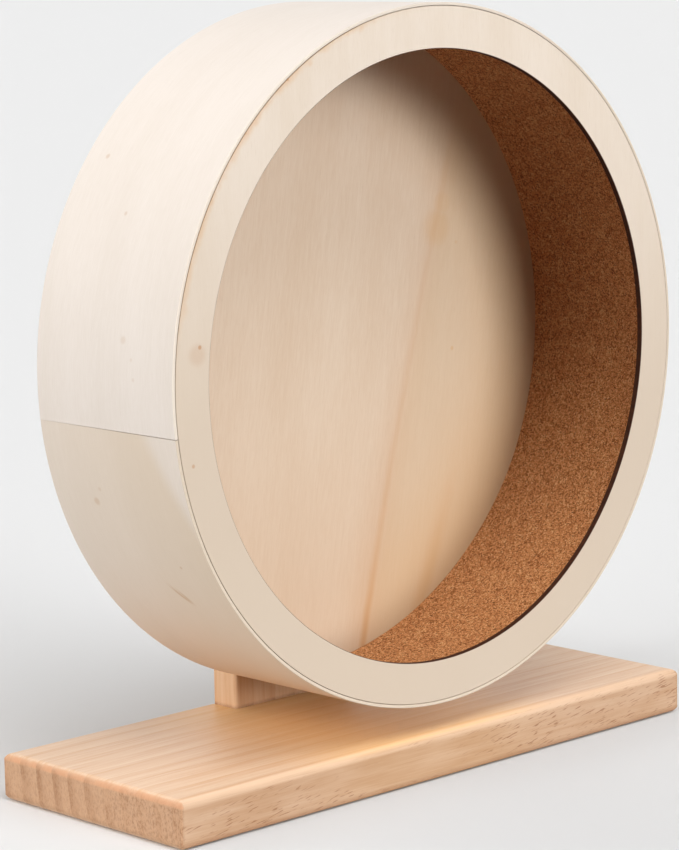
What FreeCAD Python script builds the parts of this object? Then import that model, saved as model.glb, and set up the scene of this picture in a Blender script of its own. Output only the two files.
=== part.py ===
import FreeCAD, Part
import math
import os

# Exercise wheel for small rodents: a cork-lined plywood drum, open at the front, that turns on
# two ball bearings in the post of a pine stand.
# Millimetres and degrees. Origin at the centre of the base board's underside, +X along the board,
# -Y to the drum's open side, +Z up. The axle lies along Y.

# Drum
DRUM_RADIUS = 165.0
DRUM_DEPTH = 93.7
BAND_THICKNESS = 1.5
BAND_JOINT_ANGLE = 186.3  # from +X towards +Z
BAND_JOINT_GAP = 0.2
RIM_WIDTH = 21.2  # from the drum's outside to the edge of its opening
RING_THICKNESS = 3.0
DISC_THICKNESS = 5.5
CORK_THICKNESS = 2.0
CORK_JOINT_ANGLE = 150.0  # from +X towards +Z
CORK_JOINT_GAP = 0.3
GLUE_LINE = 0.15

# Hub block on the back of the disc
HUB_DIAMETER = 60.0
HUB_THICKNESS = 9.6
HUB_CHAMFER = 1.0
HUB_SCREW_EDGE = 8.0  # screw's centre in from the hub's side
HUB_SCREW_COUNT = 4
HUB_SCREW_DIAMETER = 3.0
HUB_SCREW_HEAD = 6.0
HUB_SCREW_BITE = 3.0  # depth in the disc

# Stand
BASE_LENGTH = 337.0
BASE_THICKNESS = 22.7
BASE_ROUNDING = 4.0
BASE_CORNER = 0.8
DRUM_SETBACK = 2.0  # drum's front behind the board's front edge
DRUM_FLOAT = 13.35  # drum's lowest line above the board
POST_WIDTH = 80.0
POST_THICKNESS = 17.0
POST_RISE = 40.0  # above the axle
POST_CORNER = 12.0
POST_ROUNDING = 2.0
POST_SETBACK = 3.0  # post's back ahead of the board's back edge
POST_SCREW_SPACING = 20.0
POST_SCREW_DIAMETER = 4.0
POST_SCREW_HEAD = 8.0
POST_SCREW_BITE = 28.0  # depth in the post
DOWEL_DIAMETER = 8.0
DOWEL_LENGTH = 30.0
DOWEL_CHAMFER = 1.0
DOWEL_EDGE = 12.0  # dowel's centre in from the post's side
DOWEL_END_ROOM = 1.0
DOWEL_FIT = 0.05

# Countersunk screws
SCREW_SINK = 0.5  # head below the surface
SCREW_POINT = 2.0
SCREW_FIT = 0.05
DRIVE_WIDTH = 0.9
DRIVE_DEPTH = 1.1

# Axle bolt and what is threaded on it
BOLT_HEAD_WIDTH = 10.0
BOLT_HEAD_HEIGHT = 4.0
BOLT_POCKET_FIT = 0.15
BOLT_END = 2.0  # past the nut
BOLT_CHAMFER = 0.8
BOLT_FIT = 0.03
SPACER_THICKNESS = 1.2
WASHER_THICKNESS = 1.0
NUT_WIDTH = 10.0
NUT_HEIGHT = 4.0
NUT_COLLAR = 2.0
NUT_COLLAR_WALL = 1.7
HEX_CHAMFER = 30.0  # slope of a hexagon's chamfered corners

# Ball bearings
BEARING_BORE = 6.0
BEARING_DIAMETER = 19.0
BEARING_WIDTH = 6.0
BEARING_FIT = 0.03
BEARING_SHOULDER = 2.0  # step in the post behind each outer ring
BALL_DIAMETER = 3.5
BALL_COUNT = 6
BALL_PLAY = 0.05
RACE_OPENING = 2.6  # radial space between the two rings
CAGE_CLEARANCE = 0.4
CAGE_WALL = 0.4
CAGE_PLAY = 0.1
SHIELD_THICKNESS = 0.25
SHIELD_RECESS = 0.15
SHIELD_SEAT = 0.45  # depth of the shield's rim in the outer ring
SHIELD_FIT = 0.03
SHIELD_GAP = 0.2

# Places along Y
base_width = (DRUM_SETBACK + DRUM_DEPTH + HUB_THICKNESS + SPACER_THICKNESS
              + POST_THICKNESS + POST_SETBACK)
drum_front = DRUM_SETBACK - base_width / 2
ring_back = drum_front + RING_THICKNESS
drum_back = drum_front + DRUM_DEPTH
disc_front = drum_back - DISC_THICKNESS
hub_back = drum_back + HUB_THICKNESS
post_front = hub_back + SPACER_THICKNESS
post_back = post_front + POST_THICKNESS
post_middle = (post_front + post_back) / 2
rear_bearing_front = post_back - BEARING_WIDTH
front_bearing_back = post_front + BEARING_WIDTH
nut_front = post_back + WASHER_THICKNESS
nut_back = nut_front + NUT_HEIGHT + NUT_COLLAR

# Heights
axle_height = BASE_THICKNESS + DRUM_FLOAT + DRUM_RADIUS
post_top = axle_height + POST_RISE

# Radii
band_inside = DRUM_RADIUS - BAND_THICKNESS
fitted_radius = band_inside - GLUE_LINE
opening_radius = DRUM_RADIUS - RIM_WIDTH
bolt_hole = BEARING_BORE / 2
axle_radius = bolt_hole - BOLT_FIT
pitch_radius = (BEARING_BORE + BEARING_DIAMETER) / 4
inner_land = pitch_radius - RACE_OPENING / 2
outer_land = pitch_radius + RACE_OPENING / 2
ball_radius = BALL_DIAMETER / 2

ORIGIN = FreeCAD.Vector(0, 0, 0)
X_AXIS = FreeCAD.Vector(1, 0, 0)
Y_AXIS = FreeCAD.Vector(0, 1, 0)
Z_AXIS = FreeCAD.Vector(0, 0, 1)


def turned(profile):
    """Solid turned about the Z axis from (radius, height) corners."""
    corners = [FreeCAD.Vector(radius, 0, height) for radius, height in profile]
    face = Part.Face(Part.makePolygon(corners + corners[:1]))
    return face.revolve(ORIGIN, Z_AXIS, 360)


def tube(inside, outside, start, end):
    """Plain ring about the Z axis between two heights."""
    return turned([(inside, start), (outside, start), (outside, end), (inside, end)])


def rod(radius, start, end):
    """Plain cylinder about the Z axis between two heights."""
    return Part.makeCylinder(radius, end - start, FreeCAD.Vector(0, 0, start))


def hexagon(width, start, end):
    """Hexagonal prism about the Z axis, measured across its flats."""
    corner = width / math.sqrt(3)
    turns = [math.radians(60 * step) for step in range(7)]
    outline = [FreeCAD.Vector(corner * math.cos(turn), corner * math.sin(turn), start) for turn in turns]
    return Part.Face(Part.makePolygon(outline)).extrude(Z_AXIS * (end - start))


def chamfered_hexagon(width, start, end):
    """Hexagonal prism with its corners turned down at both ends."""
    corner = width / math.sqrt(3)
    drop = (corner - width / 2) * math.tan(math.radians(HEX_CHAMFER))
    blank = turned([(0, start), (width / 2, start), (corner, start + drop),
                    (corner, end - drop), (width / 2, end), (0, end)])
    return hexagon(width, start, end).common(blank)


def on_axle(shape):
    """Lay a solid made about Z on the axle: its heights become Y, its X stays X."""
    laid = shape.copy()
    laid.rotate(ORIGIN, X_AXIS, -90)
    laid.translate(Z_AXIS * axle_height)
    return laid


def around(shape, count):
    """Copies of a solid spread evenly about the Z axis."""
    copies = []
    for step in range(count):
        copy = shape.copy()
        copy.rotate(ORIGIN, Z_AXIS, 360 * step / count)
        copies.append(copy)
    return copies


def rounded_along(box, axis, radius):
    """Box with its four edges along one axis rounded."""
    edges = [edge for edge in box.Edges if abs(edge.tangentAt(edge.FirstParameter).dot(axis)) > 0.99]
    return box.makeFillet(radius, edges)


def countersunk_screw(head, shank, length):
    """Screw about Z with its head's flat face at zero and its point upwards."""
    slope_end = (head - shank) / 2
    body = turned([(0, 0), (head / 2, 0), (shank / 2, slope_end),
                   (shank / 2, length - SCREW_POINT), (0, length)])
    for turn in (0, 90):
        corner = FreeCAD.Vector(-shank / 2, -DRIVE_WIDTH / 2, 0)
        slot = Part.makeBox(shank, DRIVE_WIDTH, DRIVE_DEPTH, corner)
        slot.rotate(ORIGIN, Z_AXIS, turn)
        body = body.cut(slot)
    return body


def screw_hole(head, shank, length):
    """Hole for a countersunk screw, open below its head."""
    slope_end = (head - shank) / 2
    wide = head / 2 + SCREW_FIT
    narrow = shank / 2 + SCREW_FIT
    return turned([(0, -SCREW_SINK), (wide, -SCREW_SINK), (wide, 0), (narrow, slope_end),
                   (narrow, length - SCREW_POINT), (0, length + SCREW_FIT)])


def bent_strip(inside, outside, start, end, joint_angle, joint_gap):
    """Strip bent to a ring about Z, its two ends parted by a narrow slot."""
    reach = outside + joint_gap
    slot = Part.makeBox(reach, joint_gap, end - start, FreeCAD.Vector(0, -joint_gap / 2, start))
    slot.rotate(ORIGIN, Z_AXIS, -joint_angle)
    return tube(inside, outside, start, end).cut(slot)


def drum_parts():
    """Band, front ring, back disc and cork running surface, about Z."""
    cork_inside = fitted_radius - CORK_THICKNESS
    disc = rod(fitted_radius, disc_front, drum_back)
    for hole in hub_screws(screw_hole):
        disc = disc.cut(hole)
    return {
        "running_band": bent_strip(band_inside, DRUM_RADIUS, drum_front, drum_back,
                                   BAND_JOINT_ANGLE, BAND_JOINT_GAP),
        "front_ring": tube(opening_radius, fitted_radius, drum_front, ring_back),
        "back_disc": disc,
        "cork_liner": bent_strip(cork_inside, fitted_radius, ring_back, disc_front,
                                 CORK_JOINT_ANGLE, CORK_JOINT_GAP),
    }


def hub_screws(form):
    """Screws, or their holes, from the hub block's back into the disc, about Z."""
    length = HUB_THICKNESS - SCREW_SINK + HUB_SCREW_BITE
    screw = form(HUB_SCREW_HEAD, HUB_SCREW_DIAMETER, length)
    screw.rotate(ORIGIN, X_AXIS, 180)
    screw.translate(FreeCAD.Vector(HUB_DIAMETER / 2 - HUB_SCREW_EDGE, 0, hub_back - SCREW_SINK))
    screw.rotate(ORIGIN, Z_AXIS, 180 / HUB_SCREW_COUNT)
    return around(screw, HUB_SCREW_COUNT)


def hub_block():
    """Turned block with a pocket for the bolt's head and a hole for its shank, about Z."""
    radius = HUB_DIAMETER / 2
    block = turned([(bolt_hole, drum_back), (radius, drum_back), (radius, hub_back - HUB_CHAMFER),
                    (radius - HUB_CHAMFER, hub_back), (bolt_hole, hub_back)])
    pocket_width = BOLT_HEAD_WIDTH + 2 * BOLT_POCKET_FIT
    block = block.cut(hexagon(pocket_width, drum_back, drum_back + BOLT_HEAD_HEIGHT))
    for hole in hub_screws(screw_hole):
        block = block.cut(hole)
    return block


def axle_bolt():
    """Bolt from the pocket in the hub block to just past the nut, about Z."""
    head = chamfered_hexagon(BOLT_HEAD_WIDTH, drum_back, drum_back + BOLT_HEAD_HEIGHT)
    end = nut_back + BOLT_END
    shank = turned([(0, drum_back + BOLT_HEAD_HEIGHT), (axle_radius, drum_back + BOLT_HEAD_HEIGHT),
                    (axle_radius, end - BOLT_CHAMFER), (axle_radius - BOLT_CHAMFER, end), (0, end)])
    return head.fuse(shank).removeSplitter()


def lock_nut():
    """Hexagon nut with a round collar at its back, about Z."""
    collar_front = nut_front + NUT_HEIGHT
    body = chamfered_hexagon(NUT_WIDTH, nut_front, collar_front)
    body = body.cut(rod(bolt_hole, nut_front, collar_front))
    collar = tube(bolt_hole, bolt_hole + NUT_COLLAR_WALL, collar_front, nut_back)
    return body.fuse(collar).removeSplitter()


def axle_parts():
    """Hub block, its screws, and everything clamped on the bolt apart from the bearings, about Z."""
    return {
        "hub_block": hub_block(),
        "hub_screws": Part.makeCompound(hub_screws(countersunk_screw)),
        "axle_bolt": axle_bolt(),
        "front_spacer": tube(bolt_hole, inner_land, hub_back, post_front),
        "spacer_sleeve": tube(bolt_hole, inner_land, front_bearing_back, rear_bearing_front),
        "rear_washer": tube(bolt_hole, inner_land, post_back, nut_front),
        "lock_nut": lock_nut(),
    }


def outer_ring(start, end):
    """Bearing's outer ring with its ball race and a step for each shield, about Z."""
    shield_radius = outer_land + SHIELD_SEAT
    step = SHIELD_RECESS + SHIELD_THICKNESS
    ring = turned([(outer_land, start + step), (shield_radius, start + step), (shield_radius, start),
                   (BEARING_DIAMETER / 2, start), (BEARING_DIAMETER / 2, end), (shield_radius, end),
                   (shield_radius, end - step), (outer_land, end - step)])
    return ring.cut(ball_race(start, end))


def ball_race(start, end):
    """Round track that the balls run in, cut half in each ring, about Z."""
    middle = FreeCAD.Vector(0, 0, (start + end) / 2)
    return Part.makeTorus(pitch_radius, ball_radius + BALL_PLAY, middle, Z_AXIS)


def balls(start, end):
    """Ring of balls midway between a bearing's faces, about Z."""
    first = Part.makeSphere(ball_radius, FreeCAD.Vector(pitch_radius, 0, (start + end) / 2))
    return around(first, BALL_COUNT)


def ball_cage(start, end):
    """Ring with a drilled pocket for each ball, about Z."""
    half_thickness = RACE_OPENING / 2 - CAGE_CLEARANCE
    half_width = ball_radius + CAGE_WALL
    middle = (start + end) / 2
    cage = tube(pitch_radius - half_thickness, pitch_radius + half_thickness,
                middle - half_width, middle + half_width)
    drill_start = FreeCAD.Vector(inner_land, 0, middle)
    drill = Part.makeCylinder(ball_radius + CAGE_PLAY, RACE_OPENING, drill_start, X_AXIS)
    for pocket in around(drill, BALL_COUNT):
        cage = cage.cut(pocket)
    return cage


def shield(start):
    """Thin disc that closes one side of a bearing, held by the outer ring, about Z."""
    rim = outer_land + SHIELD_SEAT - SHIELD_FIT
    return tube(inner_land + SHIELD_GAP, rim, start, start + SHIELD_THICKNESS)


def bearing_parts(place, start):
    """One ball bearing from its front face, named by its place in the post, about Z."""
    end = start + BEARING_WIDTH
    inner_ring = tube(bolt_hole, inner_land, start, end).cut(ball_race(start, end))
    return {
        place + "_inner_ring": inner_ring,
        place + "_outer_ring": outer_ring(start, end),
        place + "_balls": Part.makeCompound(balls(start, end)),
        place + "_cage": ball_cage(start, end),
        place + "_bearing_front_shield": shield(start + SHIELD_RECESS),
        place + "_bearing_rear_shield": shield(end - SHIELD_RECESS - SHIELD_THICKNESS),
    }


def post_screws(form):
    """Screws, or their holes, from under the base board up into the post."""
    length = BASE_THICKNESS - SCREW_SINK + POST_SCREW_BITE
    screws = []
    for side in (-1, 1):
        screw = form(POST_SCREW_HEAD, POST_SCREW_DIAMETER, length)
        screw.translate(FreeCAD.Vector(side * POST_SCREW_SPACING / 2, post_middle, SCREW_SINK))
        screws.append(screw)
    return screws


def dowels(radius, length):
    """Pair of chamfered pegs half in the base board and half in the post."""
    pegs = []
    low = BASE_THICKNESS - length / 2
    high = BASE_THICKNESS + length / 2
    for side in (-1, 1):
        peg = turned([(0, low), (radius - DOWEL_CHAMFER, low), (radius, low + DOWEL_CHAMFER),
                      (radius, high - DOWEL_CHAMFER), (radius - DOWEL_CHAMFER, high), (0, high)])
        peg.translate(FreeCAD.Vector(side * (POST_WIDTH / 2 - DOWEL_EDGE), post_middle, 0))
        pegs.append(peg)
    return pegs


def stand_joint_holes():
    """Holes for the dowels and screws that join post and base board."""
    dowel_holes = dowels(DOWEL_DIAMETER / 2 + DOWEL_FIT, DOWEL_LENGTH + 2 * DOWEL_END_ROOM)
    return dowel_holes + post_screws(screw_hole)


def base_board():
    """Board with rounded long edges, drilled from below and above for the post."""
    corner = FreeCAD.Vector(-BASE_LENGTH / 2, -base_width / 2, 0)
    blank = Part.makeBox(BASE_LENGTH, base_width, BASE_THICKNESS, corner)
    board = rounded_along(blank, X_AXIS, BASE_ROUNDING)
    board = board.common(rounded_along(blank, Y_AXIS, BASE_ROUNDING))
    board = board.common(rounded_along(blank, Z_AXIS, BASE_CORNER))
    for hole in stand_joint_holes():
        board = board.cut(hole)
    return board


def post_blank():
    """Upright board with round top corners and eased edges."""
    corner = FreeCAD.Vector(-POST_WIDTH / 2, post_front, BASE_THICKNESS)
    height = post_top - BASE_THICKNESS
    block = Part.makeBox(POST_WIDTH, POST_THICKNESS, height, corner)
    top_edges = [edge for edge in block.Edges
                 if edge.BoundBox.YLength > POST_THICKNESS / 2 and edge.BoundBox.ZMin > axle_height]
    block = block.makeFillet(POST_CORNER, top_edges)
    outline = [edge for edge in block.Edges
               if edge.BoundBox.YLength < POST_ROUNDING and edge.BoundBox.ZMax > axle_height]
    return block.makeFillet(POST_ROUNDING, outline)


def upright_post():
    """Post with a stepped bore for the two bearings and holes for its dowels and screws."""
    seat = BEARING_DIAMETER / 2 + BEARING_FIT
    step = BEARING_DIAMETER / 2 - BEARING_SHOULDER
    post = post_blank()
    post = post.cut(on_axle(rod(seat, post_front, front_bearing_back)))
    post = post.cut(on_axle(rod(seat, rear_bearing_front, post_back)))
    post = post.cut(on_axle(rod(step, post_front, post_back)))
    for hole in stand_joint_holes():
        post = post.cut(hole)
    return post


def stand_parts():
    """Base board, post and what joins them."""
    return {
        "base_board": base_board(),
        "upright_post": upright_post(),
        "post_dowels": Part.makeCompound(dowels(DOWEL_DIAMETER / 2, DOWEL_LENGTH)),
        "post_screws": Part.makeCompound(post_screws(countersunk_screw)),
    }


def write_parts():
    """Write one file for each piece of the wheel."""
    turning = {**drum_parts(), **axle_parts()}
    turning.update(bearing_parts("front", post_front))
    turning.update(bearing_parts("rear", rear_bearing_front))
    pieces = stand_parts()
    for name, shape in turning.items():
        pieces[name] = on_axle(shape)
    os.makedirs("parts", exist_ok=True)
    for name, shape in pieces.items():
        shape.exportStep(os.path.join("parts", name + ".step"))


write_parts()
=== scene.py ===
"""Dressed model of a wooden rodent exercise wheel on its pine stand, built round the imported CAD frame."""

import logging
import math
from dataclasses import dataclass
from enum import Enum
from typing import Union

import bpy
from bpy.types import Material, Mesh, NodeInputs, NodeSocket, NodeTree, Object
from mathutils import Matrix, Vector


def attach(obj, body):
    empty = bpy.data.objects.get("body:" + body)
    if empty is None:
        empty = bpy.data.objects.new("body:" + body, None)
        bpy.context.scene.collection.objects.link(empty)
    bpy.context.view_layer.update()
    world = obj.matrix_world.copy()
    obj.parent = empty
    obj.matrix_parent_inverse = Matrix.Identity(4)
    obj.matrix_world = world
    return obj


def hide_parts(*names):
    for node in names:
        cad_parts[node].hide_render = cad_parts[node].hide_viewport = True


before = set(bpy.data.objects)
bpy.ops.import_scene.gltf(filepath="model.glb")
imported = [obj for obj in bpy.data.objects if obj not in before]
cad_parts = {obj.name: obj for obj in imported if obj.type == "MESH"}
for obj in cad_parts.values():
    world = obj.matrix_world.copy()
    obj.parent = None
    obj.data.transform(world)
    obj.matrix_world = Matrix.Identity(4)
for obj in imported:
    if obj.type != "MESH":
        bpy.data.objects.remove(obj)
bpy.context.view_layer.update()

log = logging.getLogger("wheel")
MM = 0.001
AXLE_HEIGHT = 201.05 * MM
STRIP_PLACE = "strip_place"
ORIGIN = (0.0, 0.0, 0.0)

Triple = tuple[float, float, float]
Operand = Union["Signal", float]


def linear(red: int, green: int, blue: int) -> Triple:
    """Turn a display colour of 0 to 255 into the linear one that shaders use."""
    shares = (red / 255, green / 255, blue / 255)
    return tuple(c / 12.92 if c <= 0.04045 else ((c + 0.055) / 1.055) ** 2.4 for c in shares)


class Signal:
    """A node's output that takes part in Python arithmetic."""

    def __init__(self, graph: "NodeGraph", socket: NodeSocket) -> None:
        """Keep the graph and the output socket."""
        self.graph = graph
        self.socket = socket

    def _maths(self, operation: str, first: Operand, second: Operand = 0.0) -> "Signal":
        """Add one Math node."""
        values = {"Value": first, "Value_001": second}
        return self.graph.add("ShaderNodeMath", {"operation": operation}, values)

    def __add__(self, other: Operand) -> "Signal":
        """Sum."""
        return self._maths("ADD", self, other)

    def __radd__(self, other: Operand) -> "Signal":
        """Sum, number first."""
        return self._maths("ADD", other, self)

    def __sub__(self, other: Operand) -> "Signal":
        """Difference."""
        return self._maths("SUBTRACT", self, other)

    def __rsub__(self, other: Operand) -> "Signal":
        """Difference, number first."""
        return self._maths("SUBTRACT", other, self)

    def __mul__(self, other: Operand) -> "Signal":
        """Product."""
        return self._maths("MULTIPLY", self, other)

    def __rmul__(self, other: Operand) -> "Signal":
        """Product, number first."""
        return self._maths("MULTIPLY", other, self)

    def __truediv__(self, other: Operand) -> "Signal":
        """Quotient."""
        return self._maths("DIVIDE", self, other)

    def root(self) -> "Signal":
        """Square root."""
        return self._maths("SQRT", self)

    def fraction(self) -> "Signal":
        """What is left above the whole number."""
        return self._maths("FRACT", self)

    def most(self, other: Operand) -> "Signal":
        """Larger of two values."""
        return self._maths("MAXIMUM", self, other)

    def angle_to(self, other: Operand) -> "Signal":
        """Angle whose tangent is this value over the other one."""
        return self._maths("ARCTAN2", self, other)

    def reach(self, other: "Signal") -> "Signal":
        """Length of a step of this value and of the other one square to it."""
        return (self * self + other * other).root()

    def between(self, low: float, high: float) -> "Signal":
        """Rise smoothly from 0 at the low value to 1 at the high one."""
        limits = {"Value": self, "From Min": low, "From Max": high}
        return self.graph.add("ShaderNodeMapRange", {"interpolation_type": "SMOOTHSTEP"}, limits)

    def within(self, low: float, risen: float, falling: float, high: float) -> "Signal":
        """Rise smoothly from 0 to 1 and fall to 0 again."""
        return self.between(low, risen) * (1.0 - self.between(falling, high))


class NodeGraph:
    """A node tree whose nodes are added through one method."""

    def __init__(self, tree: NodeTree) -> None:
        """Keep the tree."""
        self.tree = tree

    @staticmethod
    def _socket(sockets: NodeInputs, name: str) -> NodeSocket:
        """Find a socket by identifier, or else by name."""
        found = [socket for socket in sockets if socket.identifier == name]
        return found[0] if found else sockets[name]

    def connect(self, value: object, target: NodeSocket) -> None:
        """Link a signal to a socket, or set the socket's value.

        Args:
            value: Signal, number, vector or colour.
            target: Input socket.
        """
        if isinstance(value, Signal):
            self.tree.links.new(value.socket, target)
        elif target.type == "RGBA" and len(value) == 3:
            target.default_value = (*value, 1.0)
        else:
            target.default_value = value

    def add(self, kind: str, settings: dict[str, object] | None = None,
            sockets: dict[str, object] | None = None, output: str = "") -> Signal:
        """Add one node.

        Args:
            kind: Blender's name of the node's type.
            settings: The node's own properties, set first.
            sockets: Values or signals of its inputs, by identifier or name.
            output: Identifier or name of the output that is used, the first one if empty.

        Returns:
            That output.
        """
        node = self.tree.nodes.new(kind)
        for name, value in (settings or {}).items():
            setattr(node, name, value)
        for name, value in (sockets or {}).items():
            self.connect(value, self._socket(node.inputs, name))
        chosen = self._socket(node.outputs, output) if output else node.outputs[0]
        return Signal(self, chosen)

    def parts(self, vector: Signal) -> tuple[Signal, Signal, Signal]:
        """Split a vector into its three components."""
        node = self.add("ShaderNodeSeparateXYZ", sockets={"Vector": vector}).socket.node
        return tuple(Signal(self, node.outputs[axis]) for axis in "XYZ")

    def vector(self, x: Operand, y: Operand, z: Operand) -> Signal:
        """Join three components to a vector."""
        return self.add("ShaderNodeCombineXYZ", sockets={"X": x, "Y": y, "Z": z})


class ShaderGraph(NodeGraph):
    """Nodes of one material round its Principled shader."""

    def __init__(self, name: str) -> None:
        """Start a material.

        Args:
            name: The material's name.
        """
        self.material = bpy.data.materials.new(name)
        self.material.use_nodes = True
        super().__init__(self.material.node_tree)
        self.shader = self.tree.nodes["Principled BSDF"]

    def object_place(self) -> Signal:
        """Place on the piece, in metres of the shared frame."""
        return self.add("ShaderNodeTexCoord", output="Object")

    def strip_place(self) -> Signal:
        """Place along and across a bent strip, kept on its mesh."""
        return self.add("ShaderNodeAttribute", {"attribute_name": STRIP_PLACE}, output="Vector")

    def turned(self, vector: Signal, centre: Triple, degrees: Triple) -> Signal:
        """Place in a pattern that has its origin at a centre and is turned about X, Y and Z."""
        sockets = {"Vector": vector, "Location": centre, "Rotation": tuple(math.radians(d) for d in degrees)}
        return self.add("ShaderNodeMapping", {"vector_type": "TEXTURE"}, sockets)

    def noise(self, vector: Signal, scale: Triple, detail: float = 2.0, roughness: float = 0.5) -> Signal:
        """Add a noise that may be stretched.

        Args:
            vector: Place in the pattern.
            scale: Waves in a metre along each axis.
            detail: Octaves above the first.
            roughness: Strength of those octaves.

        Returns:
            Noise about 0.5.
        """
        stretch = {"Vector": vector, "Scale": scale}
        stretched = self.add("ShaderNodeMapping", {"vector_type": "POINT"}, stretch)
        sockets = {"Vector": stretched, "Scale": 1.0, "Detail": detail, "Roughness": roughness}
        return self.add("ShaderNodeTexNoise", {"noise_dimensions": "3D"}, sockets)

    def cells(self, vector: Signal, scale: float, output: str) -> Signal:
        """Add a pattern of that many cells in a metre, and take its Distance or Color."""
        sockets = {"Vector": vector, "Scale": scale}
        return self.add("ShaderNodeTexVoronoi", {"voronoi_dimensions": "3D"}, sockets, output)

    def mix(self, share: Operand, first: object, second: object) -> Signal:
        """Mix two colours by the second one's share."""
        sockets = {"Factor_Float": share, "A_Color": first, "B_Color": second}
        return self.add("ShaderNodeMix", {"data_type": "RGBA", "clamp_factor": True}, sockets, "Result_Color")

    def ramp(self, value: Signal, stops: list[tuple[float, Triple]]) -> Signal:
        """Colour a value by a ramp.

        Args:
            value: Value from 0 to 1.
            stops: The ramp's places from 0 to 1 with their linear colours.

        Returns:
            The colour.
        """
        shade = self.add("ShaderNodeValToRGB", sockets={"Fac": value})
        elements = shade.socket.node.color_ramp.elements
        while len(elements) < len(stops):
            elements.new(0.5)
        for element, (place, colour) in zip(elements, stops):
            element.position = place
            element.color = (*colour, 1.0)
        return shade

    def shade(self, **values: object) -> None:
        """Set or feed sockets of the shader; underscores stand for spaces."""
        for name, value in values.items():
            self.connect(value, self.shader.inputs[name.replace("_", " ")])

    def surface(self, colour: Signal, height: Signal, depth: float, strength: float,
                **values: object) -> None:
        """Give the shader its colour, a relief of that depth and strength, and other values."""
        relief = {"Height": height, "Distance": depth, "Strength": strength}
        self.shade(Base_Color=colour, Normal=self.add("ShaderNodeBump", sockets=relief), **values)


class GeometryGraph(NodeGraph):
    """A Geometry Nodes tree with named inputs that ends in a plain mesh."""

    def __init__(self, name: str) -> None:
        """Start a tree.

        Args:
            name: The tree's name.
        """
        super().__init__(bpy.data.node_groups.new(name, "GeometryNodeTree"))
        self.tree.interface.new_socket("Geometry", in_out="OUTPUT", socket_type="NodeSocketGeometry")
        self.source = self.tree.nodes.new("NodeGroupInput")
        self.identifiers: dict[str, str] = {}

    def given(self, *names: str, kind: str = "Float") -> list[Signal]:
        """Add named inputs.

        Args:
            names: The inputs' names.
            kind: Float, Int, Bool, Vector, Material or Object.

        Returns:
            The inputs' values inside the tree.
        """
        values = []
        for name in names:
            item = self.tree.interface.new_socket(name, in_out="INPUT", socket_type="NodeSocket" + kind)
            self.identifiers[name] = item.identifier
            values.append(Signal(self, self._socket(self.source.outputs, item.identifier)))
        return values

    def captured(self, geometry: Signal, value: Signal, name: str) -> tuple[Signal, Signal]:
        """Keep a value on the points of a curve for later.

        Args:
            geometry: Curve.
            value: Number on its points.
            name: Name of the kept value.

        Returns:
            The curve and the kept value.
        """
        node = self.tree.nodes.new("GeometryNodeCaptureAttribute")
        node.capture_items.new("FLOAT", name)
        self.connect(geometry, node.inputs[0])
        self.connect(value, node.inputs[1])
        return Signal(self, node.outputs[0]), Signal(self, node.outputs[1])

    def close(self, geometry: Signal, material: Signal) -> None:
        """End the tree in real geometry of one material.

        Args:
            geometry: Mesh or instances.
            material: Material of all of it.
        """
        real = self.add("GeometryNodeRealizeInstances", sockets={"Geometry": geometry})
        dressed = self.add("GeometryNodeSetMaterial", sockets={"Geometry": real, "Material": material})
        target = self.tree.nodes.new("NodeGroupOutput")
        self.connect(dressed, target.inputs["Geometry"])

    def piece(self, name: str, values: dict[str, object]) -> Object:
        """Evaluate the tree and keep the result as a plain mesh.

        Args:
            name: Name of the piece.
            values: Values of the tree's inputs by name.

        Returns:
            The piece's object, at the origin.
        """
        piece = bpy.data.objects.new(name, bpy.data.meshes.new(name))
        bpy.context.scene.collection.objects.link(piece)
        modifier = piece.modifiers.new("build", "NODES")
        modifier.node_group = self.tree
        for label, value in values.items():
            modifier[self.identifiers[label]] = value
        shading = piece.modifiers.new("even_shading", "WEIGHTED_NORMAL")
        shading.keep_sharp = True
        graph = bpy.context.evaluated_depsgraph_get()
        mesh = bpy.data.meshes.new_from_object(piece.evaluated_get(graph), preserve_all_data_layers=True,
                                               depsgraph=graph)
        piece.modifiers.clear()
        piece.data = mesh
        mesh.name = name
        return piece


class GrainAxis(Enum):
    """Direction that wood fibres run in, as the turn that brings X onto it."""

    LENGTH = (0.0, 0.0, 0.0)
    HEIGHT = (0.0, -90.0, 0.0)


class ScrewLayout(Enum):
    """How a set of screws is spread."""

    RING = False
    ROW = True


@dataclass(frozen=True)
class Mark:
    """A small dark mark on a surface, such as a pin knot."""

    along: float
    across: float
    radius: float
    strength: float


def marks(*rows: tuple[float, float, float, float]) -> tuple[Mark, ...]:
    """Make marks from rows of place, radius (both in millimetres) and strength."""
    return tuple(Mark(x * MM, z * MM, r * MM, strength) for x, z, r, strength in rows)


@dataclass(frozen=True)
class Finish:
    """What every finish shares."""

    name: str

    def material(self) -> Material:
        """Make the finish's material.

        Returns:
            The material.
        """
        graph = ShaderGraph(self.name)
        self.paint(graph)
        return graph.material

    def paint(self, graph: ShaderGraph) -> None:
        """Add the finish's nodes to a material."""
        raise NotImplementedError

    @staticmethod
    def marked(along: Signal, across: Signal, spots: tuple[Mark, ...]) -> Signal:
        """Gather small marks into one mask.

        Args:
            along: Place along the surface.
            across: Place across it.
            spots: The marks.

        Returns:
            Mask that is above 0 on the marks.
        """
        mask = None
        for mark in spots:
            reach = (along - mark.along).reach(across - mark.across)
            spot = (1.0 - reach.between(mark.radius * 0.35, mark.radius)) * mark.strength
            mask = spot if mask is None else mask.most(spot)
        return mask


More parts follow.
